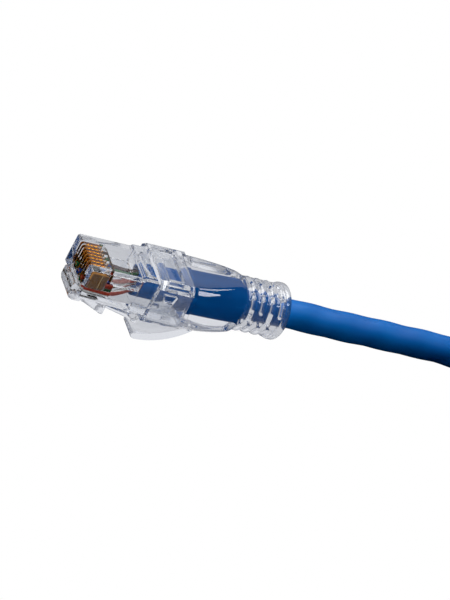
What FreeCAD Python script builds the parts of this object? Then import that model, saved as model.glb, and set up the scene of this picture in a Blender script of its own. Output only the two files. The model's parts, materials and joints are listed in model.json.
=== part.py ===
import FreeCAD, Part
import math
import os

# Ethernet patch cable: two clear eight-way plugs with latch-guard boots on one round blue cable.
# Millimetres. Each plug is drawn in its own frame: X runs from the nose to the cable,
# Y across the plug with wire 1 at -Y, and Z up from the face that the contacts open on.

# Plug housing
body_half = 5.84
body_length = 21.46
nose_depth = 6.6
rear_depth = 7.4
rear_rise = 0.4
rear_step_x = 11.3
cavity_half = 4.25
well_front_x = 5.1
well_rear_x = 10.9
well_floor = -2.6
channel_top = -3.0
channel_bottom = -5.9
jacket_room_x = 11.2
jacket_room_top = -0.35
jacket_room_bottom = -6.45

# Contacts and wires
ways = 8
pitch = 1.02
blade_thick = 0.34
blade_top = -0.44
slot_play = 0.03
wire_radius = 0.48
wire_sides = 6
upper_row = -3.95
lower_row = -5.15
guide_front_x = 0.75
guide_rear_x = 6.1
colours = ["white_orange", "orange", "white_green", "blue", "white_blue", "green", "white_brown", "brown"]

# Cable
cable_radius = 2.9
cable_z = -3.33
jacket_wall = 0.55
jacket_front_x = 11.6
jacket_mouth = 3.0

# Latch
latch_half = 3.05
lever_half = 1.62
latch_pin = (2.75, -8.35)
latch_pin_radius = 0.64
lever_slope = 0.23
shoulder_x = 7.7
shoulder_z = -10.8

# Boot and hood
collar_front_x = 13.8
collar_rear_x = 21.9
collar_half = 7.2
sleeve_x = 34.0
boot_end_x = 43.05
sleeve_radius = 5.35
end_ring_x = 41.65
end_ring_radius = 5.6
slot_pitch = 2.07
side_slot_x = 34.85
side_slot_width = 0.95
side_slots = 4
cross_slot_width = 0.8
sleeve_sides = 16
bore_sides = 12
hood_half = 2.75
hood_pin = (26.0, -9.95)
hood_pin_radius = 0.8
hood_low = -14.8
pin_gap = 0.05
nose_bulge = -0.9

# Where the two plugs lie
middle_x = (nose_bulge + boot_end_x) / 2
stand = -hood_low
far_end = FreeCAD.Vector(94.2, -1.3, 17.75)

# Coil of the stored length: two layers that spiral in and then out again.
# The cord's section there is an eight-sided one of the round cable's area, flat underneath.
coil_x = 100.0
coil_far_y = 4.45
coil_radius = 35.0
turn_step = 6.3
layer_step = 6.25
half_turns_in = 4
half_turns_out = 2
cord_sides = 8
cord_flat = 2.82

# Free stretches of the cord, from the near boot to the coil and from the coil to the far boot
coil_start = (coil_x - 2 * cable_radius, coil_far_y, cord_flat)
coil_end = (coil_x - 2 * cable_radius, coil_far_y - 2 * coil_radius + turn_step, cord_flat + layer_step)
lead_route = [
    (boot_end_x - middle_x, 0, stand + cable_z),
    (42.0, 0.0, stand + cable_z),
    (58.5, 0.2, 11.0),
    (67.6, 1.3, 8.7),
    (76.2, 3.2, 4.9),
    (85.0, 4.45, cord_flat),
    coil_start,
]
tail_route = [
    coil_end,
    (78.7, coil_end[1], coil_end[2]),
    (65.3, -51.5, 9.3),
    (57.5, -38.1, 10.4),
    (57.5, -22.6, 12.6),
    (65.3, -9.1, 15.2),
    (78.7, far_end.y, far_end.z),
    tuple(far_end),
]

# Tie round the coil
tie_width = 4.0
tie_thick = 0.5

V = FreeCAD.Vector


def box(x0, x1, y0, y1, z0, z1):
    return Part.makeBox(x1 - x0, y1 - y0, z1 - z0, V(x0, y0, z0))


def slab(profile, half, middle=0.0):
    """A side profile in X and Z, that reaches half to each side of the middle."""
    points = [V(x, middle - half, z) for x, z in profile]
    face = Part.Face(Part.makePolygon(points + points[:1]))
    return face.extrude(V(0, 2 * half, 0))


def prism(outline, x0, x1):
    """A cross-section in Y and Z, from x0 to x1."""
    points = [V(x0, y, z) for y, z in outline]
    face = Part.Face(Part.makePolygon(points + points[:1]))
    return face.extrude(V(x1 - x0, 0, 0))


def mirrored(right):
    """The whole outline of a symmetric section from its +Y points, top first."""
    return right + [(-y, z) for y, z in reversed(right)]


def faceted(rings):
    """A solid of flat facets through rings of points that match one to one."""
    count = len(rings[0])
    faces = []
    for here, there in zip(rings, rings[1:]):
        for k in range(count):
            m = (k + 1) % count
            faces.append(Part.Face(Part.makePolygon([here[k], here[m], there[m], there[k], here[k]])))
    for ring in (rings[0], rings[-1]):
        faces.append(Part.Face(Part.makePolygon(ring + ring[:1])))
    return Part.makeSolid(Part.makeShell(faces))


def ring_points(x, y, z, radius, sides):
    """The corners of a regular outline square to X, with a flat side at the bottom."""
    points = []
    for k in range(sides):
        angle = math.radians(270 + (k + 0.5) * 360 / sides)
        points.append(V(x, y + radius * math.cos(angle), z + radius * math.sin(angle)))
    return points


def rod(x, z, radius, half):
    return Part.makeCylinder(radius, 2 * half, V(x, -half, z), V(0, 1, 0))


def way_y(i):
    return (i - (ways - 1) / 2) * pitch


# Plug housing

def nose_block():
    """The lump under the nose that the latch springs from, hollowed for the latch's root."""
    x, z = latch_pin
    block = slab([(0.6, -6.2), (0.6, -4.9), (0, -4.9), (nose_bulge, -5.7), (nose_bulge, -7.6), (-0.4, -8.7), (0.5, -9.1),
                  (x - 0.7, -9.1), (x - 0.4, z), (x, z + 0.75), (x, -6.2)], latch_half)
    return block.cut(rod(x, z, latch_pin_radius + pin_gap, latch_half + 1))


def contact_slots():
    """Slots that hold the blades, open over the nose's top front corner."""
    slots = []
    for i in range(ways):
        half = blade_thick / 2 + slot_play
        slots.append(slab([(-1, 1), (-1, -2.5), (0.85, -2.5), (0.85, channel_top - 0.2),
                           (4.66, channel_top - 0.2), (4.66, -1.4), (3.92, -1.4), (3.92, 1)], half, way_y(i)))
    return slots


def jacket_bar():
    """The bar across the trough that is pressed onto the jacket when the plug is crimped."""
    return slab([(12.3, -0.38), (12.3, -0.1), (12.8, 0.1), (13.5, 0.1), (14.1, -0.12), (14.1, -0.38)], 3.8)


def housing():
    body = slab([(0.0, -0.3), (0.3, 0), (rear_step_x - 0.4, 0), (rear_step_x, rear_rise),
                 (body_length, rear_rise), (body_length, -rear_depth), (0.3, -nose_depth), (0, -nose_depth + 0.3)],
                body_half)
    well = slab([(well_front_x, 1), (well_front_x, well_floor), (well_rear_x, well_floor),
                 (rear_step_x - 0.1, 0.2), (rear_step_x - 0.1, 1)], cavity_half)
    channel = box(guide_front_x, jacket_room_x + 0.1, -cavity_half, cavity_half, channel_bottom, channel_top)
    room = box(jacket_room_x, body_length + 1, -cavity_half, cavity_half, jacket_room_bottom, jacket_room_top)
    mouth = slab([(body_length - 0.8, jacket_room_bottom), (body_length + 0.1, jacket_room_bottom - 0.5),
                  (body_length + 0.1, jacket_room_bottom + 1), (body_length - 0.8, jacket_room_bottom + 1)], cavity_half)
    trough = box(11.9, 14.6, -3.7, 3.7, jacket_room_top - 0.1, 1)
    body = body.cut(well).cut(channel).cut(room).cut(mouth).cut(trough)
    for slot in contact_slots():
        body = body.cut(slot)
    body = body.fuse(jacket_bar()).fuse(nose_block())
    for side in (-1, 1):
        lug = slab([(15.5, -1.0), (17.9, -1.0), (17.5, -2.4), (16.1, -2.4)], 0.6, side * (body_half + 0.5))
        body = body.fuse(lug)
    return body.removeSplitter()


# Latch

def lever_top(x):
    return latch_pin[1] + latch_pin_radius - lever_slope * (x - latch_pin[0])


def latch():
    """The sprung lever, with the wide part that ends in the locking shoulders, and the thumb end."""
    x, z = latch_pin
    root = rod(x, z, latch_pin_radius, latch_half)
    wide = slab([(x, z + latch_pin_radius), (shoulder_x, lever_top(shoulder_x)), (shoulder_x, shoulder_z),
                 (7.1, shoulder_z), (x, z - latch_pin_radius)], latch_half)
    lever = slab([(7.0, lever_top(7.0)), (13.6, lever_top(13.6)), (13.6, lever_top(13.6) - 1.15),
                  (7.0, lever_top(7.0) - 1.15)], lever_half)
    thumb = slab([(13.5, lever_top(13.5)), (15.2, -9.95), (16.0, -10.5), (16.0, -11.9), (15.4, -12.2),
                  (13.5, lever_top(13.5) - 1.15)], lever_half)
    return root.fuse([wide, lever, thumb]).removeSplitter()


# Contacts, wire guide, wires and jacket

def contact(i):
    """One blade: an eased top edge that the jack's spring touches, and three piercing teeth."""
    top, front = blade_top, 0.95
    profile = [(front, top - 0.5), (front + 0.1, top - 0.2), (front + 0.4, top), (3.7, top), (3.88, top - 0.2),
               (3.88, -1.45), (4.62, -1.45), (4.62, -4.3)]
    for tooth in (4.1, 3.0, 1.9):
        profile += [(tooth + 0.28, -4.45), (tooth, -5.6), (tooth - 0.28, -4.45)]
    profile += [(1.35, -4.3), (1.35, -2.9), (front, -2.45)]
    return slab(profile, blade_thick / 2, way_y(i))


def row_z(i):
    return upper_row if i % 2 else lower_row


def wire_guide():
    """The clear block that spaces the wire ends in two staggered rows under the blades."""
    guide = box(guide_front_x, guide_rear_x, -cavity_half + 0.05, cavity_half - 0.05, channel_bottom, channel_top)
    for i in range(ways):
        bore = faceted([ring_points(x, way_y(i), row_z(i), wire_radius + 0.03, wire_sides) for x in (0, 10)])
        half = blade_thick / 2 + slot_play
        gap = box(1.2, 4.75, way_y(i) - half, way_y(i) + half, channel_bottom - 1, channel_top + 1)
        guide = guide.cut(bore).cut(gap)
    return guide


def wire(i):
    """One insulated wire from its cut end in the guide to the jacket's mouth."""
    packed_y = (i // 2 - 1.5) * 1.0
    packed_z = cable_z + (0.42 if i % 2 else -0.68)
    centres = [(guide_front_x + 0.05, way_y(i), row_z(i)), (6.5, way_y(i), row_z(i)),
               (11.2, packed_y * 1.1, (row_z(i) + packed_z) / 2), (jacket_front_x + 2.0, packed_y, packed_z)]
    return faceted([ring_points(*centre, wire_radius, wire_sides) for centre in centres])


def jacket_end():
    """The jacket inside the plug and boot, with the pairs coming out of its mouth."""
    start = V(jacket_front_x, 0, cable_z)
    jacket = Part.makeCylinder(cable_radius, boot_end_x - jacket_front_x, start, V(1, 0, 0))
    return jacket.cut(Part.makeCylinder(cable_radius - jacket_wall, jacket_mouth, start, V(1, 0, 0)))


# Boot

def collar():
    """The frame that grips the rear of the housing."""
    outline = mirrored([(5.6, 1.45), (collar_half, 0.1), (collar_half, -6.9), (6.0, -8.3)])
    frame = prism(outline, collar_front_x, collar_rear_x)
    window = box(16.0, 19.2, -4.9, 4.9, 0, 2)
    frame = frame.cut(window)
    for side in (-1, 1):
        chamfer_window = slab([(15.5, 1.2), (20.3, 1.2), (20.3, 0.0), (15.5, 0.0)], 0.9, side * 6.6)
        lug_window = slab([(15.4, -0.9), (18.1, -0.9), (18.1, -2.6), (15.4, -2.6)], 1.0, side * 6.8)
        frame = frame.cut(chamfer_window).cut(lug_window)
    return frame


def taper_section(x, top, flat, side, side_low, low_flat):
    """Eight corners at x. The corners slope alike all along the taper, so that every facet is flat."""
    side_high = top - 0.82 * (side - flat)
    bottom = side_low - 0.75 * (side - low_flat)
    outline = mirrored([(flat, top), (side, side_high), (side, side_low), (low_flat, bottom)])
    return [V(x, y, z) for y, z in outline]


def taper():
    """The solid clear body that narrows from the collar to the ribbed sleeve."""
    return faceted([
        taper_section(collar_rear_x - 0.1, 1.15, 5.3, 6.95, -6.9, 5.0),
        taper_section(26.6, 1.25, 4.7, 6.65, -7.2, 3.4),
        taper_section(30.6, 1.7, 3.6, 5.9, -6.9, 2.8),
        taper_section(sleeve_x, 1.85, 2.0, 5.1, -6.1, 2.2),
    ])


def sleeve():
    """The round sleeve about the cable, with the thicker ring at its end."""
    profile = [(sleeve_x - 0.6, sleeve_radius), (end_ring_x, sleeve_radius), (end_ring_x + 0.2, end_ring_radius),
               (boot_end_x - 0.4, end_ring_radius), (boot_end_x, end_ring_radius - 0.4)]
    return faceted([ring_points(x, 0, cable_z, radius, sleeve_sides) for x, radius in profile])


def sleeve_slot(middle, width, start, end):
    """A cut through the sleeve's wall from one angle to another, measured from +Y up over the top."""
    steps = 1 + int((end - start) / 60)
    angles = [math.radians(start + (end - start) * k / steps) for k in range(steps + 1)]
    outline = [(0, cable_z)] + [(9 * math.cos(a), cable_z + 9 * math.sin(a)) for a in angles]
    return prism(outline, middle - width / 2, middle + width / 2)


def relief_slots():
    """Slots in the sides, and between them slots in the top and underneath, so that the sleeve bends."""
    slots = []
    for k in range(side_slots):
        x = side_slot_x + slot_pitch * k
        start = -4 if k % 2 == 0 else 17
        slots += [sleeve_slot(x, side_slot_width, start, 62), sleeve_slot(x, side_slot_width, 118, 180 - start)]
        x -= slot_pitch / 2
        slots += [sleeve_slot(x, cross_slot_width, 72, 108), sleeve_slot(x, cross_slot_width, 194, 346)]
    return slots


def boot():
    x, z = hood_pin
    shell = collar().fuse([taper(), sleeve()])
    root = slab([(x - 0.8, -8.5), (x - 0.8, z + 0.75), (x, z - 0.3), (x + 2.6, z + 0.5), (x + 3.2, -8.5)], hood_half)
    shell = shell.fuse(root).cut(rod(x, z, hood_pin_radius + pin_gap, hood_half + 1))
    room = box(collar_front_x - 1, body_length, -body_half - 0.08, body_half + 0.08, -rear_depth - 0.1, rear_rise + 0.06)
    notch = box(collar_front_x - 1, 17.6, -2.3, 2.3, -9, -7)
    bore_radius = (cable_radius + 0.03) / math.cos(math.pi / bore_sides)
    bore = faceted([ring_points(x, 0, cable_z, bore_radius, bore_sides) for x in (body_length - 1, boot_end_x + 1)])
    shell = shell.cut(room).cut(notch).cut(bore)
    for slot in relief_slots():
        shell = shell.cut(slot)
    return shell.removeSplitter()


def hood():
    """The arched tongue over the latch's end, from its root under the boot."""
    x, z = hood_pin
    half = hood_half
    outer = Part.Arc(V(x + 0.45, -half, z - 0.66), V(20.9, -half, -14.0), V(16.2, -half, hood_low)).toShape()
    tip = Part.makePolygon([V(16.2, -half, hood_low), V(15.6, -half, -14.55), V(15.35, -half, -13.9),
                            V(15.6, -half, -13.62)])
    inner = Part.Arc(V(15.6, -half, -13.62), V(20.4, -half, -12.35), V(x - 0.72, -half, z + 0.2)).toShape()
    close = Part.makePolygon([inner.Vertexes[-1].Point, V(x, -half, z), outer.Vertexes[0].Point])
    tongue = Part.Face(Part.Wire([outer] + tip.Edges + [inner] + close.Edges)).extrude(V(0, 2 * half, 0))
    return tongue.fuse(rod(x, z, hood_pin_radius, half)).removeSplitter()


# Cord

def rounded_path(route, name):
    """Straight runs joined by tangent arcs, each as large as 0.45 of its shorter run allows."""
    points = [V(*p) for p in route]
    edges = []
    here = points[0]
    radii = []
    for before, corner, after in zip(points, points[1:], points[2:]):
        to_back = (before - corner).normalize()
        to_front = (after - corner).normalize()
        half_turn = (math.pi - to_back.getAngle(to_front)) / 2
        reach = 0.45 * min((before - corner).Length, (after - corner).Length)
        radius = reach / math.tan(half_turn)
        start, end = corner + to_back * reach, corner + to_front * reach
        inward = (to_back + to_front).normalize()
        middle = corner + inward * (radius / math.cos(half_turn) - radius)
        edges += [Part.LineSegment(here, start).toShape(), Part.Arc(start, middle, end).toShape()]
        radii.append(round(radius, 1))
        here = end
    edges.append(Part.LineSegment(here, points[-1]).toShape())
    path = Part.Wire(edges)
    print(name, "arc radii mm", radii)
    return path


def cord_section(at, ahead):
    """A cord-wide polygon square to the path, with a flat underneath."""
    radius = cord_flat / math.cos(math.pi / cord_sides)
    side = V(0, 0, 1).cross(ahead).normalize()
    up = ahead.cross(side).normalize()
    points = []
    for k in range(cord_sides):
        angle = -math.pi / 2 + (k + 0.5) * 2 * math.pi / cord_sides
        points.append(at + side * (radius * math.cos(angle)) + up * (radius * math.sin(angle)))
    return Part.makePolygon(points + points[:1])


def cord_tube(path, name):
    first = path.OrderedEdges[0]
    ahead = first.tangentAt(first.FirstParameter)
    profile = cord_section(path.OrderedVertexes[0].Point, ahead)
    tube = path.makePipeShell([profile], True, False)
    area = Part.Face(profile).Area
    print(name, "length mm", round(path.Length, 1), "volume over section x length",
          round(tube.Volume / (area * path.Length), 4))
    return tube


def coil_path():
    """Half turns, each half a step tighter on the way in and wider on the way out, and one that climbs."""
    low, high = cord_flat, cord_flat + layer_step
    y = coil_far_y
    edges = [Part.LineSegment(V(*coil_start), V(coil_x, y, low)).toShape()]
    radius = coil_radius
    z = low
    side = 1
    for k in range(half_turns_in + 1 + half_turns_out):
        climbs = k == half_turns_in
        end_z = high if climbs else z
        heading = -1 if k % 2 == 0 else 1
        end_y = y + heading * 2 * radius
        middle = V(coil_x + side * radius, (y + end_y) / 2, (z + end_z) / 2)
        edges.append(Part.Arc(V(coil_x, y, z), middle, V(coil_x, end_y, end_z)).toShape())
        y, z, side = end_y, end_z, -side
        radius += turn_step / 2 if k >= half_turns_in else -turn_step / 2
    edges.append(Part.LineSegment(V(coil_x, y, z), V(coil_x - 2 * cable_radius, y, z)).toShape())
    return Part.Wire(edges)


def least_gap(path):
    """The least distance between turns of the coil, on points along it, less the cord's width."""
    points = path.discretize(Distance=2.5)
    apart = int(6 * 2 * cable_radius / 2.5)
    least = min(a.distanceToPoint(b) for i, a in enumerate(points) for b in points[i + apart:])
    return least - 2 * cable_radius


def hull(points):
    """The tight outline round some points in a plane, in order."""
    rows = []
    for sweep in (sorted(points), sorted(points, reverse=True)):
        chain = []
        for y, z in sweep:
            while len(chain) > 1:
                (y0, z0), (y1, z1) = chain[-2:]
                if (y1 - y0) * (z - z0) - (z1 - z0) * (y - y0) > 1e-9:
                    break
                chain.pop()
            chain.append((y, z))
        rows += chain[:-1]
    return rows


def tie():
    """A strip drawn tight round the four strands at the coil's near side."""
    strands = [(0, cord_flat), (1, cord_flat), (1, cord_flat + layer_step), (2, cord_flat + layer_step)]
    nearest = coil_far_y - 2 * coil_radius
    outlines = []
    for reach in (cable_radius + tie_thick, cable_radius):
        points = []
        for step, z in strands:
            centre_y = nearest + step * turn_step
            for corner in ring_points(0, centre_y, z, reach / math.cos(math.pi / cord_sides), cord_sides):
                points.append((round(corner.y, 4), round(corner.z, 4)))
        outlines.append(hull(points))
    x0, x1 = coil_x - tie_width / 2, coil_x + tie_width / 2
    outer, inner = [prism(outline, x0, x1) for outline in outlines]
    reach_y = nearest - 2 * cable_radius, nearest + 3 * turn_step
    top = 3 * layer_step
    return outer.common(box(x0, x1, *reach_y, 0, top)).cut(inner.common(box(x0, x1, *reach_y, tie_thick, top)))


# Assembly

def plug_parts(end):
    parts = {
        "plug_housing": housing(),
        "latch": latch(),
        "wire_guide": wire_guide(),
        "jacket_end": jacket_end(),
        "boot": boot(),
        "hood": hood(),
    }
    for i in range(ways):
        parts["contact_%d" % (i + 1)] = contact(i)
        parts["wire_" + colours[i]] = wire(i)
    return {"%s_%s" % (name, end): shape for name, shape in parts.items()}


def save(name, shape):
    if not shape.isValid() or len(shape.Solids) < 1:
        print("CHECK", name, "valid", shape.isValid(), "solids", len(shape.Solids))
    solid = shape.Solids[0] if len(shape.Solids) == 1 else shape
    solid.exportStep("parts/%s.step" % name)


os.makedirs("parts", exist_ok=True)
near_place = FreeCAD.Placement(V(-middle_x, 0, stand), FreeCAD.Rotation())
far_place = FreeCAD.Placement(far_end + V(boot_end_x, 0, cable_z), FreeCAD.Rotation(V(0, 1, 0), 180))
for end, place in (("a", near_place), ("b", far_place)):
    for name, shape in plug_parts(end).items():
        shape.Placement = place
        save(name, shape)
coil = coil_path()
save("cord_lead", cord_tube(rounded_path(lead_route, "lead"), "lead"))
save("cord_coil", cord_tube(coil, "coil"))
save("cord_tail", cord_tube(rounded_path(tail_route, "tail"), "tail"))
save("coil_tie", tie())
print("least gap between turns mm", round(least_gap(coil), 2))
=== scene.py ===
# Ethernet patch cable: the looks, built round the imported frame. Metres, in the frame's own axes.
import json
import math

import bmesh
import bpy
from mathutils import Matrix, Vector

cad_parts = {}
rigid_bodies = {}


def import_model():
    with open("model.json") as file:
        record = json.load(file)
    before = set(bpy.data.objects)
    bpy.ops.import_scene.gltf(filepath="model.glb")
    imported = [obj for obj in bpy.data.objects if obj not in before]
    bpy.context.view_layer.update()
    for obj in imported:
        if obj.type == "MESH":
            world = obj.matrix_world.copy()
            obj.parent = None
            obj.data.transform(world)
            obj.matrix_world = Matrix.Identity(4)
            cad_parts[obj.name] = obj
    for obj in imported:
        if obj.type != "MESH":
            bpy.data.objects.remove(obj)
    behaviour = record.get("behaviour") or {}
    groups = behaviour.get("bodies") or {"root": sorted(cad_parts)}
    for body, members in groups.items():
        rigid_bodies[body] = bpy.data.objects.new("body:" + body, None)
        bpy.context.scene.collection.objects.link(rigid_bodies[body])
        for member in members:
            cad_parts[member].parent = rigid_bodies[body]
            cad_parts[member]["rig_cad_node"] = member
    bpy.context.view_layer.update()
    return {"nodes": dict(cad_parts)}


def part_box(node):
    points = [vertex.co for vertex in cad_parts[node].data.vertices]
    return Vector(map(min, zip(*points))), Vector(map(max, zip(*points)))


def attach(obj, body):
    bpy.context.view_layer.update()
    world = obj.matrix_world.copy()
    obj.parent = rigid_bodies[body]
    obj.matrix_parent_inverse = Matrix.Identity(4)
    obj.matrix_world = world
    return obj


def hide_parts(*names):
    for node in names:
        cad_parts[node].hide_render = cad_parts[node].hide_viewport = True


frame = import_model()
mm = 0.001
print("frame loaded:", len(frame["nodes"]), "nodes")


# Placing: a plug is drawn once, in millimetres from its nose along X, and put on both ends of the cable

plug = {
    "bootEnd": 43.05,  # from the nose to where the cable leaves the boot
    "axisZ": -3.33,  # cable axis below the face that the contacts open on
    "jacketFront": 11.6,  # where the jacket is cut off
}
noseToEnd, axisZ = plug["bootEnd"] * mm, plug["axisZ"] * mm
nearLow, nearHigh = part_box("jacket_end_a")
farLow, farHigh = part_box("jacket_end_b")
nearAxis = (nearLow + nearHigh) / 2
farAxis = (farLow + farHigh) / 2
nearPlug = Matrix.Translation((nearHigh.x - noseToEnd, nearAxis.y, nearAxis.z - axisZ))
farPlug = Matrix.Translation((farLow.x + noseToEnd, farAxis.y, farAxis.z + axisZ))
farPlug = farPlug @ Matrix.Rotation(math.pi, 4, "Y")
ends = {"a": (nearPlug, "near"), "b": (farPlug, "far")}
sideways = (math.pi / 2, 0, 0)  # turns that lay a bar along Y, and along X
lengthways = (0, math.pi / 2, 0)


def deselect():
    for other in bpy.context.selected_objects:
        other.select_set(False)


def activate(piece):
    deselect()
    piece.select_set(True)
    bpy.context.view_layer.objects.active = piece


def editAll(piece):
    activate(piece)
    bpy.ops.object.mode_set(mode="EDIT")
    bpy.ops.mesh.select_all(action="SELECT")


def editDone():
    bpy.ops.object.mode_set(mode="OBJECT")


def newMesh(name, mesh):
    piece = bpy.data.objects.new(name, mesh)
    bpy.context.scene.collection.objects.link(piece)
    return piece


def newShape(name, points, faces):  # left in edit mode, with all of it selected
    mesh = bpy.data.meshes.new(name)
    mesh.from_pydata(points, [], faces)
    piece = newMesh(name, mesh)
    editAll(piece)
    return piece


def faceOutwards():
    bpy.ops.mesh.select_all(action="SELECT")
    bpy.ops.mesh.normals_make_consistent(inside=False)
    editDone()


def placed(name):  # names the new primitive and moves its place into its mesh
    piece = bpy.context.object
    piece.name = name
    activate(piece)
    bpy.ops.object.transform_apply(location=True, rotation=True, scale=True)
    return piece


def block(name, low, high):
    low, high = Vector(low), Vector(high)
    deselect()
    bpy.ops.mesh.primitive_cube_add(size=1, location=(low + high) / 2, scale=high - low)
    return placed(name)


def bar(name, middle, radius, length, turn=sideways, count=64):
    deselect()
    bpy.ops.mesh.primitive_cylinder_add(vertices=count, radius=radius, depth=length, location=middle,
                                        rotation=turn)
    return placed(name)


def extruded(name, outline, ahead):  # a flat outline, drawn out along one direction
    piece = newShape(name, outline, [range(len(outline))])
    bpy.ops.mesh.extrude_region_move(TRANSFORM_OT_translate={"value": ahead})
    faceOutwards()
    return piece


def slab(name, profile, half, middle=0.0):  # a side profile in X and Z, half to each side of the middle
    return extruded(name, [(x, middle - half, z) for x, z in profile], (0, 2 * half, 0))


def loft(name, rings):  # a closed skin through rings of matching points
    count = len(rings[0])
    points = [point for ring in rings for point in ring]
    faces = []
    for i in range(len(rings) - 1):
        for k in range(count):
            m = (k + 1) % count
            faces.append((i * count + k, i * count + m, (i + 1) * count + m, (i + 1) * count + k))
    faces += [range(count), range(len(points) - count, len(points))]
    piece = newShape(name, points, faces)
    faceOutwards()
    return piece


def besideAxis(x, reach, angle):  # a point round the cable's axis in the plug
    return x, reach * math.cos(angle), plug["axisZ"] + reach * math.sin(angle)


def modify(piece, kind, **settings):
    modifier = piece.modifiers.new(kind, kind)
    for key, value in settings.items():
        setattr(modifier, key, value)
    activate(piece)
    bpy.ops.object.modifier_apply(modifier=modifier.name)


def combine(piece, other, operation):  # a union or a difference, which uses up the other one
    modify(piece, "BOOLEAN", operation=operation, object=other, solver="EXACT")
    bpy.data.objects.remove(other)


def ease(piece, width, segments=3, angle=25):  # rounds the edges that are sharper than the angle
    modify(piece, "BEVEL", width=width, segments=segments, limit_method="ANGLE",
           angle_limit=math.radians(angle))


def weld(piece, gap):  # takes out the slivers that booleans leave, because a bevel shrinks to their size
    editAll(piece)
    bpy.ops.mesh.remove_doubles(threshold=gap)
    bpy.ops.mesh.dissolve_degenerate(threshold=gap / 10)
    editDone()


def smooth(piece, angle):
    activate(piece)
    bpy.ops.object.shade_smooth_by_angle(angle=math.radians(angle))


def finishPiece(piece, body, material, slot, *nodes):
    piece.data.materials.clear()
    piece.data.materials.append(material)
    piece.visible_shadow = not material.name.startswith("clear")  # light reaches what is inside
    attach(piece, body)
    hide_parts(*nodes)


def bothEnds(model, name, body, material, slot, node, angle=35):  # one copy for each end of the cable
    smooth(model, angle)
    for end, (place, side) in ends.items():
        mesh = model.data.copy()
        mesh.transform(place @ Matrix.Scale(mm, 4))
        piece = newMesh("%s_%s" % (name, end), mesh)
        finishPiece(piece, body % side if "%s" in body else body, material, slot, node % end)
    bpy.data.objects.remove(model)


# Shader maths

class Value:  # a socket that can stand in a sum
    def __init__(self, graph, socket):
        self.graph = graph
        self.socket = socket

    def maths(self, operation, *inputs):
        return self.graph.node("ShaderNodeMath", {"operation": operation}, dict(enumerate(inputs)))

    def __add__(self, other):
        return self.maths("ADD", self, other)

    __radd__ = __add__

    def __mul__(self, other):
        return self.maths("MULTIPLY", self, other)

    __rmul__ = __mul__

    def __sub__(self, other):
        return self.maths("SUBTRACT", self, other)

    def __rsub__(self, other):
        return self.maths("SUBTRACT", other, self)

    def sin(self):
        return self.maths("SINE", self)

    def fract(self):
        return self.maths("FRACT", self)

    def abs(self):
        return self.maths("ABSOLUTE", self)

    def between(self, low, high, first=0.0, last=1.0):  # goes smoothly from first to last
        settings = {"interpolation_type": "SMOOTHSTEP", "clamp": True}
        inputs = {0: self, 1: low, 2: high, 3: first, 4: last}
        return self.graph.node("ShaderNodeMapRange", settings, inputs)


class Graph:  # the nodes of a new material, or of the world
    def __init__(self, name, world=None):
        self.material = world or bpy.data.materials.new(name)
        self.material.use_nodes = True
        self.tree = self.material.node_tree
        self.shader = self.tree.nodes["Background" if world else "Principled BSDF"]
        self.out = self.tree.nodes["World Output" if world else "Material Output"]

    def put(self, socket, value):
        if isinstance(value, Value):
            self.tree.links.new(value.socket, socket)
        else:
            socket.default_value = value

    def node(self, kind, settings=None, inputs=None, output=0):
        made = self.tree.nodes.new(kind)
        for key, value in (settings or {}).items():
            if key == "stops":
                self.setStops(made.color_ramp, value)
            else:
                setattr(made, key, value)
        for key, value in (inputs or {}).items():
            self.put(made.inputs[key], value)
        return Value(self, made.outputs[output])

    def setStops(self, ramp, stops):
        while len(ramp.elements) < len(stops):
            ramp.elements.new(0.5)
        for element, (place, tone) in zip(ramp.elements, stops):
            element.position = place
            element.color = (*tone, 1)

    def place(self):
        return self.node("ShaderNodeTexCoord", output="Object")

    def uv(self):  # the two parts of the piece's own UV map
        vector = self.node("ShaderNodeTexCoord", output="UV")
        parts = self.node("ShaderNodeSeparateXYZ", {}, {0: vector}).socket.node.outputs
        return Value(self, parts[0]), Value(self, parts[1])

    def noise(self, place, scale, detail, roughness=0.5):
        inputs = {"Vector": place, "Scale": scale, "Detail": detail, "Roughness": roughness}
        return self.node("ShaderNodeTexNoise", {}, inputs)

    def mix(self, mask, first, second):
        return self.node("ShaderNodeMix", {"data_type": "RGBA"}, {0: mask, 6: first, 7: second}, output=2)

    def bump(self, height, distance, strength):
        inputs = {"Height": height, "Distance": distance, "Strength": strength}
        return self.node("ShaderNodeBump", {}, inputs)

    def set(self, **values):
        for key, value in values.items():
            self.put(self.shader.inputs[key.replace("_", " ")], value)


def colour(red, green, blue):  # a colour as a picture shows it, from 0 to 255
    parts = [c / 255 for c in (red, green, blue)]
    return tuple(c / 12.92 if c <= 0.04045 else ((c + 0.055) / 1.055) ** 2.4 for c in parts) + (1.0,)


def darkenedTone(tone, share):
    return tuple(c * share for c in tone[:3]) + (1.0,)


# Clear plastic

mould = {
    "tint": (0.93, 0.94, 0.955, 1.0), "ior": 1.49,
    "roughness": 0.01, "haze": 0.12, "hazeScale": 700.0,
    "swirlScale": 180.0, "swirlDepth": 0.000006, "swirl": 0.25,
}
guideMould = {**mould, "tint": (0.93, 0.935, 0.94, 1.0), "haze": 0.02, "ior": 1.03}  # inside the housing


def clearPlastic(name, look):
    graph = Graph(name)
    cloud = graph.noise(graph.place(), look["hazeScale"], 3.0).between(0.4, 0.8)
    swirl = graph.noise(graph.place(), look["swirlScale"], 2.0)
    graph.set(Base_Color=look["tint"], Transmission_Weight=1.0, IOR=look["ior"],
              Roughness=cloud * look["haze"] + look["roughness"],
              Normal=graph.bump(swirl, look["swirlDepth"], look["swirl"]))
    return graph.material


# Jacket

jacketLook = {
    "tones": ((0.0, 0.095, 0.37), (0.0, 0.12, 0.43)), "patchScale": 130.0,
    "roughness": 0.38, "grain": 0.12, "grainScale": 2600.0,
    "twist": 0.37, "turn": 6.283,  # radians of the swells' slant to a millimetre, and once round
    "depth": 0.00003, "strength": 0.5,
}


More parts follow.
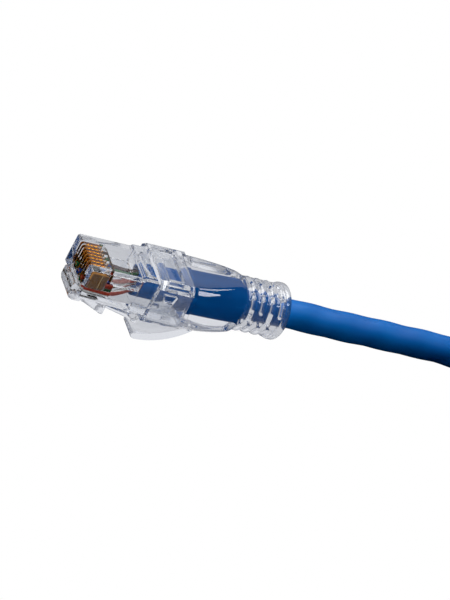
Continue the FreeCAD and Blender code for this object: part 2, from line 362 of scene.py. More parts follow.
def jacketBlue(name, depth, shine):
    graph = Graph(name)
    along, around = graph.uv()
    place = graph.place()
    patch = graph.noise(place, jacketLook["patchScale"], 3.0).between(0.3, 0.7)
    # depth darkens the tones; the copy of the jacket under the clear pieces gets a low one, as painted
    # shade
    base = graph.mix(patch, *[darkenedTone(tone, depth) for tone in jacketLook["tones"]])
    grain = graph.noise(place, jacketLook["grainScale"], 4.0, 0.65)
    twist = (along * jacketLook["twist"] + around * jacketLook["turn"]).sin()  # the pairs show faintly
    graph.set(Base_Color=base, Roughness=grain * jacketLook["grain"] + jacketLook["roughness"],
              Normal=graph.bump(grain * 0.5 + twist * 0.5, jacketLook["depth"], jacketLook["strength"]),
              Specular_IOR_Level=shine)
    return graph.material


# Contact metal, with its place along X and Z of the plug as the UV

metal = {
    # the blades' bronze sides: the metal's own tone, darkened further as painted shade
    "shadedBronze": (colour(116, 76, 14), colour(92, 56, 6)),
    "gold": (colour(226, 162, 64), colour(194, 126, 40)),
    "goldAbove": (-1.55, -1.3), "goldBefore": (1.15, 1.45),  # only the edges that the jack touches
    "line": colour(226, 196, 140), "paintedHighlightAt": 3.35, "paintedHighlightHalf": (0.03, 0.07),  # a painted highlight down the flat side, where a bend between two planes of the blade would catch light
    "roughness": 0.44, "wear": 0.12, "wearScale": 1800.0,
}


def contactGold():
    graph = Graph("contactGold")
    along, height = graph.uv()
    wear = graph.noise(graph.place(), metal["wearScale"], 4.0).between(0.3, 0.8)
    upper, front = height.between(*metal["goldAbove"]), along.between(*metal["goldBefore"], 1.0, 0.0)
    # a painted highlight: a pale line down each blade's flat side
    line = (along - metal["paintedHighlightAt"]).abs().between(*metal["paintedHighlightHalf"], 1.0, 0.0)
    # the bronze sides with their painted shade, and the painted highlight line mixed on
    shadedBronze = graph.mix(line, graph.mix(wear, *metal["shadedBronze"]), metal["line"])
    base = graph.mix(upper + front * (1 - upper), shadedBronze, graph.mix(wear, *metal["gold"]))
    graph.set(Base_Color=base, Metallic=1.0, Roughness=wear * metal["wear"] + metal["roughness"])
    return graph.material


# Insulation

insulationLook = {
    "white": colour(176, 176, 174), "orange": colour(108, 26, 3), "green": colour(16, 72, 36),
    "blue": colour(10, 40, 104), "brown": colour(52, 26, 18), "copper": colour(166, 108, 70),
    "cloud": 0.88, "cloudScale": 1500.0,
    "stripe": (0.13, 0.16), "stripeTwist": 0.02, "stripeStart": 0.32,
    "coreEdge": (-0.99, -0.93),  # the UV of the cut core lies at -1
    "roughness": 0.42, "rub": 0.1, "shine": 0.2,
}


def insulation(name, main, stripe=None):
    graph = Graph(name)
    along, around = graph.uv()
    cloud = graph.noise(graph.place(), insulationLook["cloudScale"], 3.0).between(0.3, 0.7)
    base = graph.mix(cloud, main, darkenedTone(main, insulationLook["cloud"]))
    if stripe:
        turn = around + along * insulationLook["stripeTwist"] + insulationLook["stripeStart"]
        mask = (turn.fract() - 0.5).abs().between(*insulationLook["stripe"], 1.0, 0.0)
        base = graph.mix(mask, base, stripe)
    copper = along.between(*insulationLook["coreEdge"], 1.0, 0.0)
    graph.set(Base_Color=graph.mix(copper, base, insulationLook["copper"]), Metallic=copper * 0.9,
              Roughness=cloud * insulationLook["rub"] + insulationLook["roughness"],
              Specular_IOR_Level=insulationLook["shine"])
    return graph.material


clearPlug = clearPlastic("clearPlug", mould)
clearGuide = clearPlastic("clearGuide", guideMould)
clearBoot = clearPlastic("clearBoot", mould)
blueJacket = jacketBlue("jacketBlue", 0.92, 0.16)
paintedShadeJacket = jacketBlue("paintedShadeJacketBlue", 0.4, 0.02)  # painted shade: a darker, duller copy of the jacket, for where it lies under the clear pieces
goldPlate = contactGold()
print("materials made")


# Cord

cord = {
    "radius": 2.9,
    "floor": 2.95,  # height of the lowest turns
    "turnsIn": 4, "turnsOut": 2,  # half turns inwards, and outwards again a layer higher
    "coil": (100.0, 4.45, 35.0),  # centre x, far y, first radius
    "step": 6.3, "layer": 6.0,
    "perHalfTurn": 12,
    "lead": [(21.975, 0, 11.47), (42.0, 0, 11.47), (58.5, 0.2, 11.4), (67.6, 1.3, 9.8), (76.2, 3.2, 6.0),
             (85.0, 4.45, 2.95), (94.2, 4.45, 2.95)],
    "tail": [(94.2, -59.25, 8.95), (78.7, -59.25, 8.95), (65.3, -51.5, 9.3), (57.5, -38.1, 10.4),
             (57.5, -22.6, 12.6), (65.3, -9.1, 15.2), (78.7, -1.3, 17.75), (94.2, -1.3, 17.75)],
    "ring": 28, "spacing": 0.9,
    "pairPitch": 17.0, "swells": (0.013, 0.02, 0.007), "ripple": 5.3,  # swells are shares of the radius
}


def coilPoints():
    centreX, y, radius = cord["coil"]
    z = cord["floor"]
    count = cord["perHalfTurn"]
    out = 1 / math.cos(math.pi / 2 / count)  # the curve cuts its points' corners
    points = []
    for turn in range(cord["turnsIn"] + 1 + cord["turnsOut"]):
        climbing = turn == cord["turnsIn"]
        side = 1 if turn % 2 == 0 else -1
        middleY = y - side * radius
        for k in range(count):
            angle = math.pi * (k + 0.5) / count
            rise = cord["layer"] * (1 - math.cos(angle)) / 2 if climbing else 0
            points.append((centreX + side * radius * out * math.sin(angle),
                           middleY + side * radius * out * math.cos(angle), z + rise))
        y -= side * 2 * radius
        z += cord["layer"] if climbing else 0
        radius += cord["step"] / 2 if turn >= cord["turnsIn"] else -cord["step"] / 2
    return points


def splineLine(name, points):
    curve = bpy.data.curves.new(name, "CURVE")
    curve.dimensions = "3D"
    curve.resolution_u = 10
    spline = curve.splines.new("NURBS")
    spline.points.add(len(points) - 1)
    for point, place in zip(spline.points, points):
        point.co = (*place, 1)
    spline.order_u = 3
    spline.use_endpoint_u = True
    line = bpy.data.objects.new(name, curve)
    bpy.context.scene.collection.objects.link(line)
    mesh = bpy.data.meshes.new_from_object(line)
    found = [v.co.copy() for v in mesh.vertices]
    bpy.data.objects.remove(line)
    bpy.data.meshes.remove(mesh)
    return found


def runLengths(points):  # how far along a line each of its points is
    lengths = [0.0]
    for a, b in zip(points, points[1:]):
        lengths.append(lengths[-1] + (b - a).length)
    return lengths


def evenly(points, spacing):  # the same line with even steps
    lengths = runLengths(points)
    count = max(2, round(lengths[-1] / spacing))
    found, k = [], 0
    for i in range(count + 1):
        target = lengths[-1] * i / count
        while k < len(points) - 2 and lengths[k + 1] < target:
            k += 1
        share = (target - lengths[k]) / max(lengths[k + 1] - lengths[k], 1e-12)
        found.append(points[k].lerp(points[k + 1], min(share, 1.0)))
    return found


# Its UV is the way along in mm and the turn. With a core, the first end has a smaller disc in its middle.
def tube(name, points, radius, ring, startAt=0.0, lump=None, core=0.0):
    bm = bmesh.new()
    uvLayer = bm.loops.layers.uv.new("UVMap")
    side = (points[1] - points[0]).normalized().cross(Vector((0, 0, 1))).normalized()
    rings, run, at = [], [], startAt
    for i, point in enumerate(points):
        before, after = points[max(i - 1, 0)], points[min(i + 1, len(points) - 1)]
        ahead = (after - before).normalized()
        side = (side - ahead * side.dot(ahead)).normalized()
        up = side.cross(ahead)
        if i:
            at += (point - points[i - 1]).length
        run.append(at)
        row = []
        for k in range(ring):
            angle = 2 * math.pi * k / ring
            reach = radius * (1 + (lump(at, angle) if lump else 0))
            out = side * reach * math.cos(angle) + up * reach * math.sin(angle)
            row.append(bm.verts.new(point + out))
        rings.append(row)
    for i in range(len(rings) - 1):
        for k in range(ring):
            m = (k + 1) % ring
            face = bm.faces.new((rings[i][k], rings[i][m], rings[i + 1][m], rings[i + 1][k]))
            face.smooth = True
            corners = ((i, k), (i, k + 1), (i + 1, k + 1), (i + 1, k))
            for loop, (row, turn) in zip(face.loops, corners):
                loop[uvLayer].uv = (run[row], turn / ring)
    front = bm.faces.new(reversed(rings[0]))
    bm.faces.new(rings[-1])
    if core:
        bm.normal_update()
        bmesh.ops.inset_region(bm, faces=[front], thickness=radius - core)
        for loop in front.loops:
            loop[uvLayer].uv = (-1, 0)
    bmesh.ops.recalc_face_normals(bm, faces=bm.faces)
    mesh = bpy.data.meshes.new(name)
    bm.to_mesh(mesh)
    bm.free()
    return newMesh(name, mesh)


def jacketLump(at, angle):  # how the twisted pairs swell the jacket, at a way along in mm
    single, double, cross = cord["swells"]
    turned = angle - 2 * math.pi * at / cord["pairPitch"]
    swell = single * math.sin(turned) + double * math.sin(2 * turned + 0.6)
    return swell + cross * math.sin(at / cord["ripple"] + 2 * math.sin(angle))


cordLine = splineLine("cordRoute", [Vector(p) for p in cord["lead"] + coilPoints() + cord["tail"]])
cordPath = evenly(cordLine, cord["spacing"])
cordLength = runLengths(cordLine)[-1]
cordPiece = tube("cord", cordPath, cord["radius"], cord["ring"], plug["bootEnd"] - plug["jacketFront"],
                 jacketLump)
cordPiece.data.transform(Matrix.Scale(mm, 4))
cordPath = [point * mm for point in cordPath]
finishPiece(cordPiece, "cable", blueJacket, "jacket_blue", "cord_lead", "cord_coil", "cord_tail")
print("cord made, length", round(cordLength * mm, 4))


# Boot

boot = {
    "front": 13.8, "collarRear": 21.9,
    "collarOutline": [(5.6, 1.45), (7.2, 0.1), (7.2, -6.9), (6.0, -8.3)],
    "topWindow": ((16.0, -4.9, 0.0), (19.2, 4.9, 2.0)),
    "notch": ((12.8, -2.3, -9.0), (17.6, 2.3, -7.0)),
    "wall": (5.7, 7.5),  # from inside the collar's side wall to outside it, for the two windows below
    "chamferWindow": ((15.5, 0.0), (20.3, 1.4)),
    "lugWindow": [(15.4, -0.9), (18.1, -0.9), (17.7, -2.6), (15.8, -2.6)],
    "room": ((12.8, -5.92, -7.5), (21.36, 5.92, 0.46)),  # the housing sits in it
    "edge": 0.16,
    "hoodRoot": [(25.2, -8.0), (25.2, -9.2), (26.0, -10.25), (28.6, -9.45), (29.2, -8.0)],
    "bore": 2.97,
    "grip": (21.0, 33.5, 2.86),  # start, end, radius: here it grips the jacket, with no air between
}
taper = {  # from the collar's flat sides to the round sleeve
    "start": 21.6, "rows": 24,
    "flatEnd": 34.6, "roundFrom": 32.3, "roundEnd": 34.0,
    "top": (1.15, 0.7),  # height at the collar, and its rise
    "flat": (5.3, -0.62, -2.68), "half": (6.95, -0.19, -1.66),  # a + b * share + c * share ** 2
    "low": (-6.9, -1.75, 2.55), "lowFlat": (5.0, -5.19, 2.386),
    "chamfers": (0.82, 0.75),  # how the upper and the lower one slope
    "crisp": (40, -30),  # sharpness of the corners at the collar, and how it changes
}
sleeve = {
    "radius": 5.35, "pitch": 2.07, "round": 192, "rows": 10,  # points round it, rings in half a pitch
    "sideSlot": 34.85, "sideHalf": 0.42, "sideStarts": (-4, 17), "sideEnd": 60,  # degrees up from +Y
    "crossHalf": 0.34, "crossTop": (71, 109), "crossUnder": (196, 344),
    "lip": 0.2, "slotEdge": 0.04,
    "scallop": 0.5, "crowns": ((33.1, 33.7), (41.1, 41.6)), "over": (22, 52), "under": (60, 84),
    "endRing": [(41.62, 5.35), (41.67, 5.48), (41.8, 5.58), (42.0, 5.6), (42.55, 5.6), (42.8, 5.54),
                (42.96, 5.4), (43.05, 5.18)],  # x and radius
}


def smoothStep(value, low, high):
    share = min(1.0, max(0.0, (value - low) / (high - low)))
    return share * share * (3 - 2 * share)


def taperReach(share, angle, crisp):  # how far the flat-sided taper reaches, with its corners eased
    flat, half, low, lowFlat = [a + b * share + c * share * share for a, b, c in
                                (taper["flat"], taper["half"], taper["low"], taper["lowFlat"])]
    height, rise = taper["top"]
    top = height + rise * share * share * (3 - 2 * share)
    axis = plug["axisZ"]
    upper, lower = taper["chamfers"]
    bottom = low - lower * (half - lowFlat)
    facets = [(0, 1, top - axis), (1, 0, half), (upper, 1, upper * flat + top - axis),
              (lower, -1, lower * half - (low - axis)), (0, -1, axis - bottom)]
    y, z = abs(math.cos(angle)), math.sin(angle)
    total = sum(max(0.0, (ny * y + nz * z) / reach) ** crisp for ny, nz, reach in facets)
    return total ** (-1 / crisp)


def slotList():  # middle, half width, first and last angle
    slots = []
    for k in range(4):
        x = sleeve["sideSlot"] + sleeve["pitch"] * k
        start, end, half = sleeve["sideStarts"][k % 2], sleeve["sideEnd"], sleeve["sideHalf"]
        slots += [(x, half, start, end), (x, half, 180 - end, 180 - start)]
        x -= sleeve["pitch"] / 2
        for across in (sleeve["crossTop"], sleeve["crossUnder"]):
            slots.append((x, sleeve["crossHalf"], *across))
    return slots


def scallop(x, degrees):  # how far the sleeve dips between its crowns, over the top and underneath
    first, last = sleeve["crowns"]
    wave = (1 - math.cos(2 * math.pi * (x - sleeve["sideSlot"]) / sleeve["pitch"])) / 2
    wave *= smoothStep(x, *first) * (1 - smoothStep(x, *last))
    over = 1 - smoothStep(abs(degrees - 90), *sleeve["over"])
    under = 1 - smoothStep(abs(degrees - 270), *sleeve["under"])
    return sleeve["scallop"] * wave * max(over, under)


def slotDrop(x, degrees, slots):  # right through inside a slot, and a rounded lip beside it
    perDegree = math.radians(sleeve["radius"])
    lip = sleeve["lip"]
    deepest = 0.0
    for middle, half, start, end in slots:
        if abs(x - middle) > half + lip:
            continue
        off = abs((degrees - (start + end) / 2 + 180) % 360 - 180)
        past = max(0.0, (off - (end - start) / 2) * perDegree + half)
        gap = math.hypot(x - middle, past) - half
        if gap < -sleeve["slotEdge"]:
            return sleeve["radius"]
        if gap < lip:
            share = min(1.0, (lip - gap) / lip)
            deepest = max(deepest, lip * (1 - math.sqrt(1 - share * share)))
    return deepest


def bootStations():  # x and radius of the sleeve's rings, with the taper's before them
    step = sleeve["pitch"] / 2 / sleeve["rows"]
    x = sleeve["sideSlot"] - sleeve["pitch"] / 2 - 5 * step
    start, rows = taper["start"], taper["rows"]
    stations = [start + (x - start) * k / rows for k in range(rows)]
    while x < sleeve["endRing"][0][0] - step / 2:
        stations.append(x)
        x += step
    return [(x, sleeve["radius"]) for x in stations] + sleeve["endRing"]


def bootRings():
    count, slots = sleeve["round"], slotList()
    crisp, softer = taper["crisp"]
    deepest = boot["bore"] - 0.5  # a slot's floor lies inside the bore, which then opens it
    rings = []
    for x, radius in bootStations():
        share = min(1.0, (x - taper["start"]) / (taper["flatEnd"] - taper["start"]))
        roundness = smoothStep(x, taper["roundFrom"], taper["roundEnd"])
        ring = []
        for k in range(count):
            angle = 2 * math.pi * (k + 0.5) / count
            reach = radius
            if roundness < 1:
                flatSided = taperReach(share, angle, crisp + softer * share)
                reach = radius * roundness + flatSided * (1 - roundness)
            degrees = math.degrees(angle)
            reach -= max(scallop(x, degrees), slotDrop(x, degrees, slots))
            ring.append(besideAxis(x, max(reach, deepest), angle))
        rings.append(ring)
    return rings


def makeBoot():
    right = boot["collarOutline"]
    outline = right + [(-y, z) for y, z in reversed(right)]
    front, length = boot["front"], boot["collarRear"] - boot["front"]
    collar = extruded("collar", [(front, y, z) for y, z in outline], (length, 0, 0))
    combine(collar, block("topWindow", *boot["topWindow"]), "DIFFERENCE")
    combine(collar, block("notch", *boot["notch"]), "DIFFERENCE")
    inner, outer = boot["wall"]
    (startX, lowZ), (endX, highZ) = boot["chamferWindow"]
    for side in (-1, 1):
        low, high = sorted((inner * side, outer * side))
        combine(collar, block("chamferWindow", (startX, low, lowZ), (endX, high, highZ)), "DIFFERENCE")
        lug = slab("lugWindow", boot["lugWindow"], (outer - inner) / 2, side * (inner + outer) / 2)
        combine(collar, lug, "DIFFERENCE")
    combine(collar, block("room", *boot["room"]), "DIFFERENCE")
    ease(collar, boot["edge"])
    combine(collar, loft("bootBody", bootRings()), "UNION")
    root = slab("hoodRoot", boot["hoodRoot"], hood["half"])
    ease(root, 0.2)
    combine(collar, root, "UNION")
    pinX, pinZ = hood["pin"]
    pinHole = bar("pinHole", (pinX, 0, pinZ), hood["pinRadius"] + 0.05, 2 * hood["half"] + 2)
    combine(collar, pinHole, "DIFFERENCE")
    gripEnd = boot["grip"][1]
    for start, end, radius in (boot["grip"], (gripEnd, plug["bootEnd"] + 1, boot["bore"])):
        middle = ((start + end) / 2, 0, plug["axisZ"])
        combine(collar, bar("bore", middle, radius, end - start, lengthways, 96), "DIFFERENCE")
    weld(collar, 0.003)
    bothEnds(collar, "bootShell", "cable", clearBoot, "boot_clear", "boot_%s")


# Hood

hood = {
    "pin": (26.0, -9.95), "pinRadius": 0.8,
    "half": 2.75,
    "outer": [(26.45, -10.61), (20.9, -14.0), (16.2, -14.8)],  # three places on each arc
    "tip": [(15.6, -14.55), (15.35, -13.9)],
    "inner": [(15.6, -13.62), (20.4, -12.35), (25.28, -9.75)],
    "steps": 48, "edge": 0.16,
}


def arc(first, middle, last):  # points on the circle through three places
    (ax, ay), (bx, by), (cx, cy) = first, middle, last
    d = 2 * (ax * (by - cy) + bx * (cy - ay) + cx * (ay - by))
    a, b, c = ax * ax + ay * ay, bx * bx + by * by, cx * cx + cy * cy
    x = (a * (by - cy) + b * (cy - ay) + c * (ay - by)) / d
    y = (a * (cx - bx) + b * (ax - cx) + c * (bx - ax)) / d
    start, end = math.atan2(ay - y, ax - x), math.atan2(cy - y, cx - x)
    turn = (end - start + math.pi) % (2 * math.pi) - math.pi
    radius, steps = math.hypot(ax - x, ay - y), hood["steps"]
    angles = [start + turn * k / steps for k in range(steps + 1)]
    return [(x + radius * math.cos(angle), y + radius * math.sin(angle)) for angle in angles]


def makeHood():
    outline = arc(*hood["outer"]) + hood["tip"] + arc(*hood["inner"]) + [hood["pin"]]
    tongue = slab("hood", outline, hood["half"])
    x, z = hood["pin"]
    combine(tongue, bar("hoodPin", (x, 0, z), hood["pinRadius"], 2 * hood["half"]), "UNION")
    weld(tongue, 0.03)
    ease(tongue, hood["edge"], angle=30)
    bothEnds(tongue, "hoodTongue", "%s_hood", clearBoot, "boot_clear", "hood_%s")


makeBoot()
makeHood()
print("boots and hoods made")


# Contacts

contacts = {
    "count": 8, "pitch": 1.02, "thick": 0.34, "edge": 0.05,
    "front": [(0.95, -0.96), (1.01, -0.7), (1.15, -0.54)],
    "top": -0.46, "wave": 0.06, "waveLength": 0.82,
    "waveFrom": 1.35, "waveRun": 2.35, "waveSteps": 28,
    "rear": [(3.84, -0.56), (3.88, -0.71), (3.88, -1.45), (4.62, -1.45), (4.62, -4.3)],
    "teeth": (4.1, 3.0, 1.9), "toothHalf": 0.28, "toothRoot": -4.45, "toothTip": -5.6,
    "heel": [(1.35, -4.3), (1.35, -2.9), (0.95, -2.45)],
}


def acrossAt(i):
    return (i - (contacts["count"] - 1) / 2) * contacts["pitch"]


def bladeOutline():
    outline = list(contacts["front"])
    for k in range(contacts["waveSteps"] + 1):
        x = contacts["waveFrom"] + contacts["waveRun"] * k / contacts["waveSteps"]
        wave = contacts["wave"] * math.cos(2 * math.pi * x / contacts["waveLength"])
        outline.append((x, contacts["top"] + wave))
    outline += contacts["rear"]
    half, root = contacts["toothHalf"], contacts["toothRoot"]
    for tooth in contacts["teeth"]:
        outline += [(tooth + half, root), (tooth, contacts["toothTip"]), (tooth - half, root)]
    return outline + contacts["heel"]


def setUv(piece, place):  # the UV is worked out from where each corner lies
    uvLayer = piece.data.uv_layers.new(name="UVMap")
    for loop in piece.data.loops:
        uvLayer.data[loop.index].uv = place(piece.data.vertices[loop.vertex_index].co)


def makeContacts():
    outline = bladeOutline()
    for i in range(contacts["count"]):
        blade = slab("blade", outline, contacts["thick"] / 2, acrossAt(i))
        ease(blade, contacts["edge"], 2, 50)
        setUv(blade, lambda co: (co.x, co.z))
        name, node = "contact%d" % (i + 1), "contact_%d_%%s" % (i + 1)
        bothEnds(blade, name, "cable", goldPlate, "contact_gold", node)


makeContacts()
print("contacts made")


# Wires and the jacket's end

wires = {
    "order": ["white_orange", "orange", "white_green", "blue",
              "white_blue", "green", "white_brown", "brown"],
    "radius": 0.48, "core": 0.2, "ring": 20, "spacing": 0.25,
    "rows": (-5.15, -3.95),  # heights in the guide, the lower row first
    "pairs": (-0.68, 0.42),  # heights above the cable's axis in the jacket
    "stations": (0.8, 4.0, 6.6, 8.8, 11.0, 12.2, 13.6),
}
jacketEnd = {
    "wall": 0.55, "depth": 3.0, "innerEdge": 0.12, "outerEdge": 0.14,
    "plainFrom": 0.5, "rows": 40, "ring": 48,
}


def makeWires():
    for i, name in enumerate(wires["order"]):
        row = wires["rows"][i % 2]
        y = acrossAt(i)
        pairY, pairZ = i // 2 - 1.5, plug["axisZ"] + wires["pairs"][i % 2]
        turnedY, turnedZ = pairY * 1.1, (row + pairZ) / 2
        between = ((y + turnedY) / 2, (row * 2 + turnedZ) / 3)
        spots = [(y, row)] * 3 + [between, (turnedY, turnedZ)] + [(pairY, pairZ)] * 2
        route = [Vector((x, *spot)) for x, spot in zip(wires["stations"], spots)]
        path = evenly(splineLine("wireRoute", route), wires["spacing"])
        wire = tube("wire", path, wires["radius"], wires["ring"], core=wires["core"])
        tone = insulationLook[name.split("_")[-1]]
        if name.startswith("white"):
            material = insulation(name, insulationLook["white"], tone)
        else:
            material = insulation(name, tone)
        bothEnds(wire, "core_" + name, "cable", material, "wire_" + name, "wire_%s_%%s" % name, 60)


def makeJacketEnd():
    radius, front, end = cord["radius"], plug["jacketFront"], plug["bootEnd"]
    bore, inner, outer = radius - jacketEnd["wall"], jacketEnd["innerEdge"], jacketEnd["outerEdge"]
    plain, rows = front + jacketEnd["plainFrom"], jacketEnd["rows"]
    profile = [(front + jacketEnd["depth"], bore), (front + inner, bore), (front, bore + inner),
               (front, radius - outer), (front + outer, radius)]
    profile += [(plain + k * (end - plain) / rows, radius) for k in range(rows + 1)]
    angles = [2 * math.pi * k / jacketEnd["ring"] for k in range(jacketEnd["ring"])]
    rings = [[besideAxis(x, reach, angle) for angle in angles] for x, reach in profile]
    jacket = loft("jacketEnd", rings)

    def place(co):
        turn = math.atan2(co.z - plug["axisZ"], -co.y) / (2 * math.pi)
        return co.x - front, turn % 1.0

    setUv(jacket, place)
    bothEnds(jacket, "jacketEnd", "cable", paintedShadeJacket, "jacket_blue", "jacket_end_%s", 50)


makeWires()
makeJacketEnd()
print("wires and jacket ends made")


# Plug housing

housing = {
    "half": 5.84, "cavityHalf": 4.25, "noseHalf": 3.05, "edge": 0.18, "noseEdge": 0.16,
    "side": [(0.0, -0.3), (0.3, 0), (10.9, 0), (11.3, 0.4), (21.46, 0.4), (21.46, -7.4), (0.3, -6.6),
             (0, -6.3)],
    "nose": [(0.6, -6.2), (0.6, -4.9), (0, -4.9), (-0.9, -5.7), (-0.9, -7.6), (-0.4, -8.7), (0.5, -9.1),
             (2.05, -9.1), (2.35, -8.35), (2.75, -7.6), (2.75, -6.2)],
    "latchHole": (2.75, -8.35, 0.69), "latchHoleLength": 8,
    "well": [(5.1, 1), (5.1, -2.6), (10.9, -2.6), (11.2, 0.2), (11.2, 1)],
    "channel": (6.05, 11.3, -5.9, -3.0),  # front, rear, low, high: the guide fills it further forward
    "jacketRoom": (11.2, 22.5, -6.45, -0.35),
    "trough": (11.9, 14.6, 3.7),  # front, rear, half width
    "slot": [(-1, 1), (-1, -2.42), (0.98, -2.42), (0.98, -0.95), (1.15, -0.62), (3.86, -0.62),
             (3.86, 1)],
    "press": 0.01,  # a slot is this much narrower to each side than its blade, so no air is left there
    "sideGap": (0.98, 4.7, -4.9, 1.0), "sideGapAcross": (0.02, -0.06),  # front, rear, low, high
    "jacketBar": [(12.3, -0.38), (12.3, -0.1), (12.8, 0.1), (13.5, 0.1), (14.1, -0.12), (14.1, -0.38)],
    "lug": [(15.5, -1.0), (17.9, -1.0), (17.5, -2.4), (16.1, -2.4)], "lugHalf": 0.6, "lugOut": 0.5,
}
guide = {"front": 0.78, "rear": 6.0, "low": -5.87, "high": -3.03, "inset": 0.05, "edge": 0.1}


def makeWell():  # all that is hollow between the contacts and the jacket
    half = housing["cavityHalf"]
    well = slab("well", housing["well"], half)
    ease(well, 0.12)
    front, rear, low, high = housing["channel"]
    combine(well, block("channel", (front, -half, low), (rear, half, high)), "UNION")
    front, rear, low, high = housing["jacketRoom"]
    jacketRoom = block("jacketRoom", (front, -half, low), (rear, half, high))
    ease(jacketRoom, 0.3)
    combine(well, jacketRoom, "UNION")
    front, rear, wide = housing["trough"]
    combine(well, block("trough", (front, -wide, -1.0), (rear, wide, 1.0)), "UNION")
    return well


def makeHousing():
    body = slab("housing", housing["side"], housing["half"])
    ease(body, housing["edge"])
    nose = slab("nose", housing["nose"], housing["noseHalf"])
    ease(nose, housing["noseEdge"])
    combine(body, nose, "UNION")
    pinX, pinZ, pinRadius = housing["latchHole"]
    combine(body, bar("latchHole", (pinX, 0, pinZ), pinRadius, housing["latchHoleLength"]), "DIFFERENCE")
    combine(body, makeWell(), "DIFFERENCE")
    slotHalf = contacts["thick"] / 2 - housing["press"]
    for i in range(contacts["count"]):
        combine(body, slab("slot", housing["slot"], slotHalf, acrossAt(i)), "DIFFERENCE")
    outerSide = acrossAt(0) - contacts["thick"] / 2
    front, rear, low, high = housing["sideGap"]
    for side in (-1, 1):  # a sliver of air beside the outer blades, which hides them from above
        first, last = sorted(side * (outerSide + way) for way in housing["sideGapAcross"])
        combine(body, block("sideGap", (front, first, low), (rear, last, high)), "DIFFERENCE")
    jacketBar = slab("jacketBar", housing["jacketBar"], housing["trough"][2] + 0.2)
    ease(jacketBar, 0.05, 2)
    combine(body, jacketBar, "UNION")
    for side in (-1, 1):
        middle = side * (housing["half"] + housing["lugOut"])
        lug = slab("lug", housing["lug"], housing["lugHalf"], middle)
        ease(lug, 0.1)
        combine(body, lug, "UNION")
    bothEnds(body, "plugHousing", "cable", clearPlug, "plug_clear", "plug_housing_%s")


def makeGuide():  # it spaces the wire ends; wires and blades sit in it with no air round them
    half = housing["cavityHalf"] - guide["inset"]
    piece = block("guide", (guide["front"], -half, guide["low"]), (guide["rear"], half, guide["high"]))
    ease(piece, guide["edge"])
    bothEnds(piece, "wireGuide", "cable", clearGuide, "guide_clear", "wire_guide_%s")


# Latch

latch = {
    "pin": (2.75, -8.35), "pinRadius": 0.64,
    "half": 3.05, "shoulder": (7.7, -10.8), "shoulderFront": 7.1, "shoulderEdge": 0.14,
    "slope": 0.23, "thickness": 1.15, "leverHalf": 1.62, "lever": (7.0, 13.5), "leverEdge": 0.2,
    "pad": [(15.2, -9.95), (16.0, -10.5), (16.0, -11.9), (15.4, -12.2)],
}


def leverTop(x):
    return latch["pin"][1] + latch["pinRadius"] - latch["slope"] * (x - latch["pin"][0])


def makeLatch():
    x, z = latch["pin"]
    reach, thick = latch["pinRadius"], latch["thickness"]
    shoulderX, shoulderZ = latch["shoulder"]
    wide = slab("wide", [(x, z + reach), (shoulderX, leverTop(shoulderX)), (shoulderX, shoulderZ),
                         (latch["shoulderFront"], shoulderZ), (x, z - reach)], latch["half"])
    ease(wide, latch["shoulderEdge"])
    start, end = latch["lever"]
    profile = [(start, leverTop(start)), (end, leverTop(end)), *latch["pad"],
               (end, leverTop(end) - thick), (start, leverTop(start) - thick)]
    lever = slab("lever", profile, latch["leverHalf"])
    ease(lever, latch["leverEdge"])
    combine(wide, lever, "UNION")
    combine(wide, bar("latchPin", (x, 0, z), reach, 2 * latch["half"]), "UNION")
    weld(wide, 0.004)
    bothEnds(wide, "latchLever", "%s_latch", clearPlug, "plug_clear", "latch_%s")


makeHousing()
makeGuide()
makeLatch()
print("housings, guides and latches made")


# Tie

strap = {
    "tones": (colour(30, 30, 33), colour(52, 52, 56)),
    "loopScale": 2600.0, "loopDepth": 0.0001, "edge": 0.12,
}


def strapBlack():
    graph = Graph("strapBlack")
    inputs = {"Vector": graph.place(), "Scale": strap["loopScale"]}
    loops = graph.node("ShaderNodeTexVoronoi", {"feature": "F1"}, inputs)
    graph.set(Base_Color=graph.mix(loops, *strap["tones"]), Roughness=loops * 0.2 + 0.7,
              Normal=graph.bump(loops, strap["loopDepth"], 0.8))
    return graph.material


def makeTie():
    tie = newMesh("coilTie", frame["nodes"]["coil_tie"].data.copy())
    editAll(tie)
    bpy.ops.mesh.remove_doubles(threshold=1e-6)
    bpy.ops.mesh.dissolve_limited(angle_limit=math.radians(0.5))
    editDone()
    ease(tie, strap["edge"] * mm)
    smooth(tie, 40)
    finishPiece(tie, "cable", strapBlack(), "tie_black", "coil_tie")


makeTie()

tuple(cordPath[0])
print("tie made")


# Stage

stage = {
    "floorHalf": 6.0, "floorZ": -0.0002,
    "floorGlow": (0.61, 0.62, 0.655, 1),  # what the clear pieces see of the white floor
    "lens": 208.94,
    "camera": (-0.29134, -0.49456, 0.33049),
    "aim": (0.010445, 0.0, 0.011315),
    "roll": 29.32,
    "brightWay": (0.45, 0.83, 0.33),
    "sky": [(0.35, (0.34, 0.35, 0.39)), (0.6, (0.26, 0.27, 0.31)), (0.76, (0.80, 0.81, 0.85))],
    "bounces": {"max_bounces": 48, "transmission_bounces": 48, "transparent_max_bounces": 16,
                "glossy_bounces": 24},  # light crosses many faces in a clear plug
}
softboxes = {  # place, where it points, size, watts, and whether the pieces mirror it
    "topBox": ((0.05, 0.25, 0.9), (0.03, 0, 0), (0.9, 0.7), 12, True),
    "leftBox": ((-0.9, -0.2, 0.45), (0, 0, 0), (0.5, 0.6), 4, True),
    "backBox": ((0.52, 0.85, 0.55), (0.01, 0, 0.01), (0.9, 0.45), 1.0, True),  # for upward faces
    "fillBox": ((0.3, -1.0, 0.08), (0.05, 0, 0.01), (0.9, 0.2), 2.5, False),
    "creaseBox": ((0.5, -0.36, 0.9), (0.01, 0, 0.01), (0.3, 0.15), 1.6, True),  # for the near chamfer
}
white = (1, 1, 1, 1)


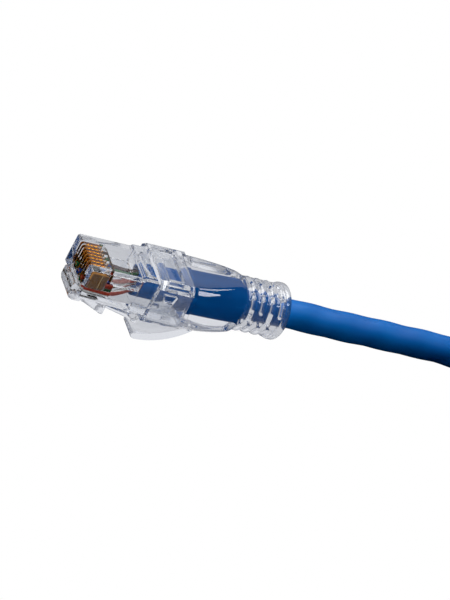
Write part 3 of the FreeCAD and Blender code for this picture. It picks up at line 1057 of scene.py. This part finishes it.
def makeFloor():
    bpy.ops.mesh.primitive_plane_add(size=2 * stage["floorHalf"], location=(0, 0, stage["floorZ"]))
    floor = bpy.context.object
    floor.name = "floor"
    graph = Graph("floorWhite")
    seen = graph.node("ShaderNodeLightPath", output="Is Camera Ray")
    glow = graph.mix(seen, stage["floorGlow"], white)
    graph.put(graph.out.inputs[0], graph.node("ShaderNodeEmission", {}, {0: glow, 1: 1.0}))
    floor.data.materials.append(graph.material)
    floor.visible_diffuse = False
    floor.visible_glossy = False


def makeCamera():
    data = bpy.data.cameras.new("camera")
    data.lens = stage["lens"]
    data.sensor_width = 36
    data.clip_start, data.clip_end = 0.01, 50
    camera = bpy.data.objects.new("camera", data)
    bpy.context.scene.collection.objects.link(camera)
    place, aim = Vector(stage["camera"]), Vector(stage["aim"])
    turn = (aim - place).to_track_quat("-Z", "Y").to_matrix().to_4x4()
    roll = Matrix.Rotation(math.radians(stage["roll"]), 4, "Z")
    camera.matrix_world = Matrix.Translation(place) @ turn @ roll
    bpy.context.scene.camera = camera


def makeWorld():  # only light through the clear pieces sees the sky, which is brightest behind the cable
    world = bpy.data.worlds.new("studio")
    bpy.context.scene.world = world
    graph = Graph("studio", world)
    direction = graph.node("ShaderNodeTexCoord", output="Generated")
    inputs = {0: direction, 1: stage["brightWay"]}
    facing = graph.node("ShaderNodeVectorMath", {"operation": "DOT_PRODUCT"}, inputs, output="Value")
    sky = graph.node("ShaderNodeValToRGB", {"stops": stage["sky"]}, {0: facing * 0.5 + 0.5})
    seen = graph.node("ShaderNodeLightPath", output="Is Camera Ray")
    graph.set(Color=graph.mix(seen, sky, white), Strength=1.0)
    world.cycles_visibility.diffuse = False
    world.cycles_visibility.glossy = False


def softbox(name, place, aim, size, power, mirrored):
    data = bpy.data.lights.new(name, "AREA")
    data.shape = "RECTANGLE"
    data.size, data.size_y = size
    data.energy = power
    light = bpy.data.objects.new(name, data)
    bpy.context.scene.collection.objects.link(light)
    light.location = place
    light.visible_transmission = False  # no glare inside the clear pieces
    light.visible_glossy = mirrored
    light.rotation_euler = (Vector(aim) - Vector(place)).to_track_quat("-Z", "Y").to_euler()


makeFloor()
makeCamera()
makeWorld()
for name, settings in softboxes.items():
    softbox(name, *settings)
scene = bpy.context.scene
scene.view_settings.view_transform = "Standard"
for key, value in stage["bounces"].items():
    setattr(scene.cycles, key, value)
scene.cycles.caustics_refractive = True
scene.cycles.caustics_reflective = True
print("stage made")
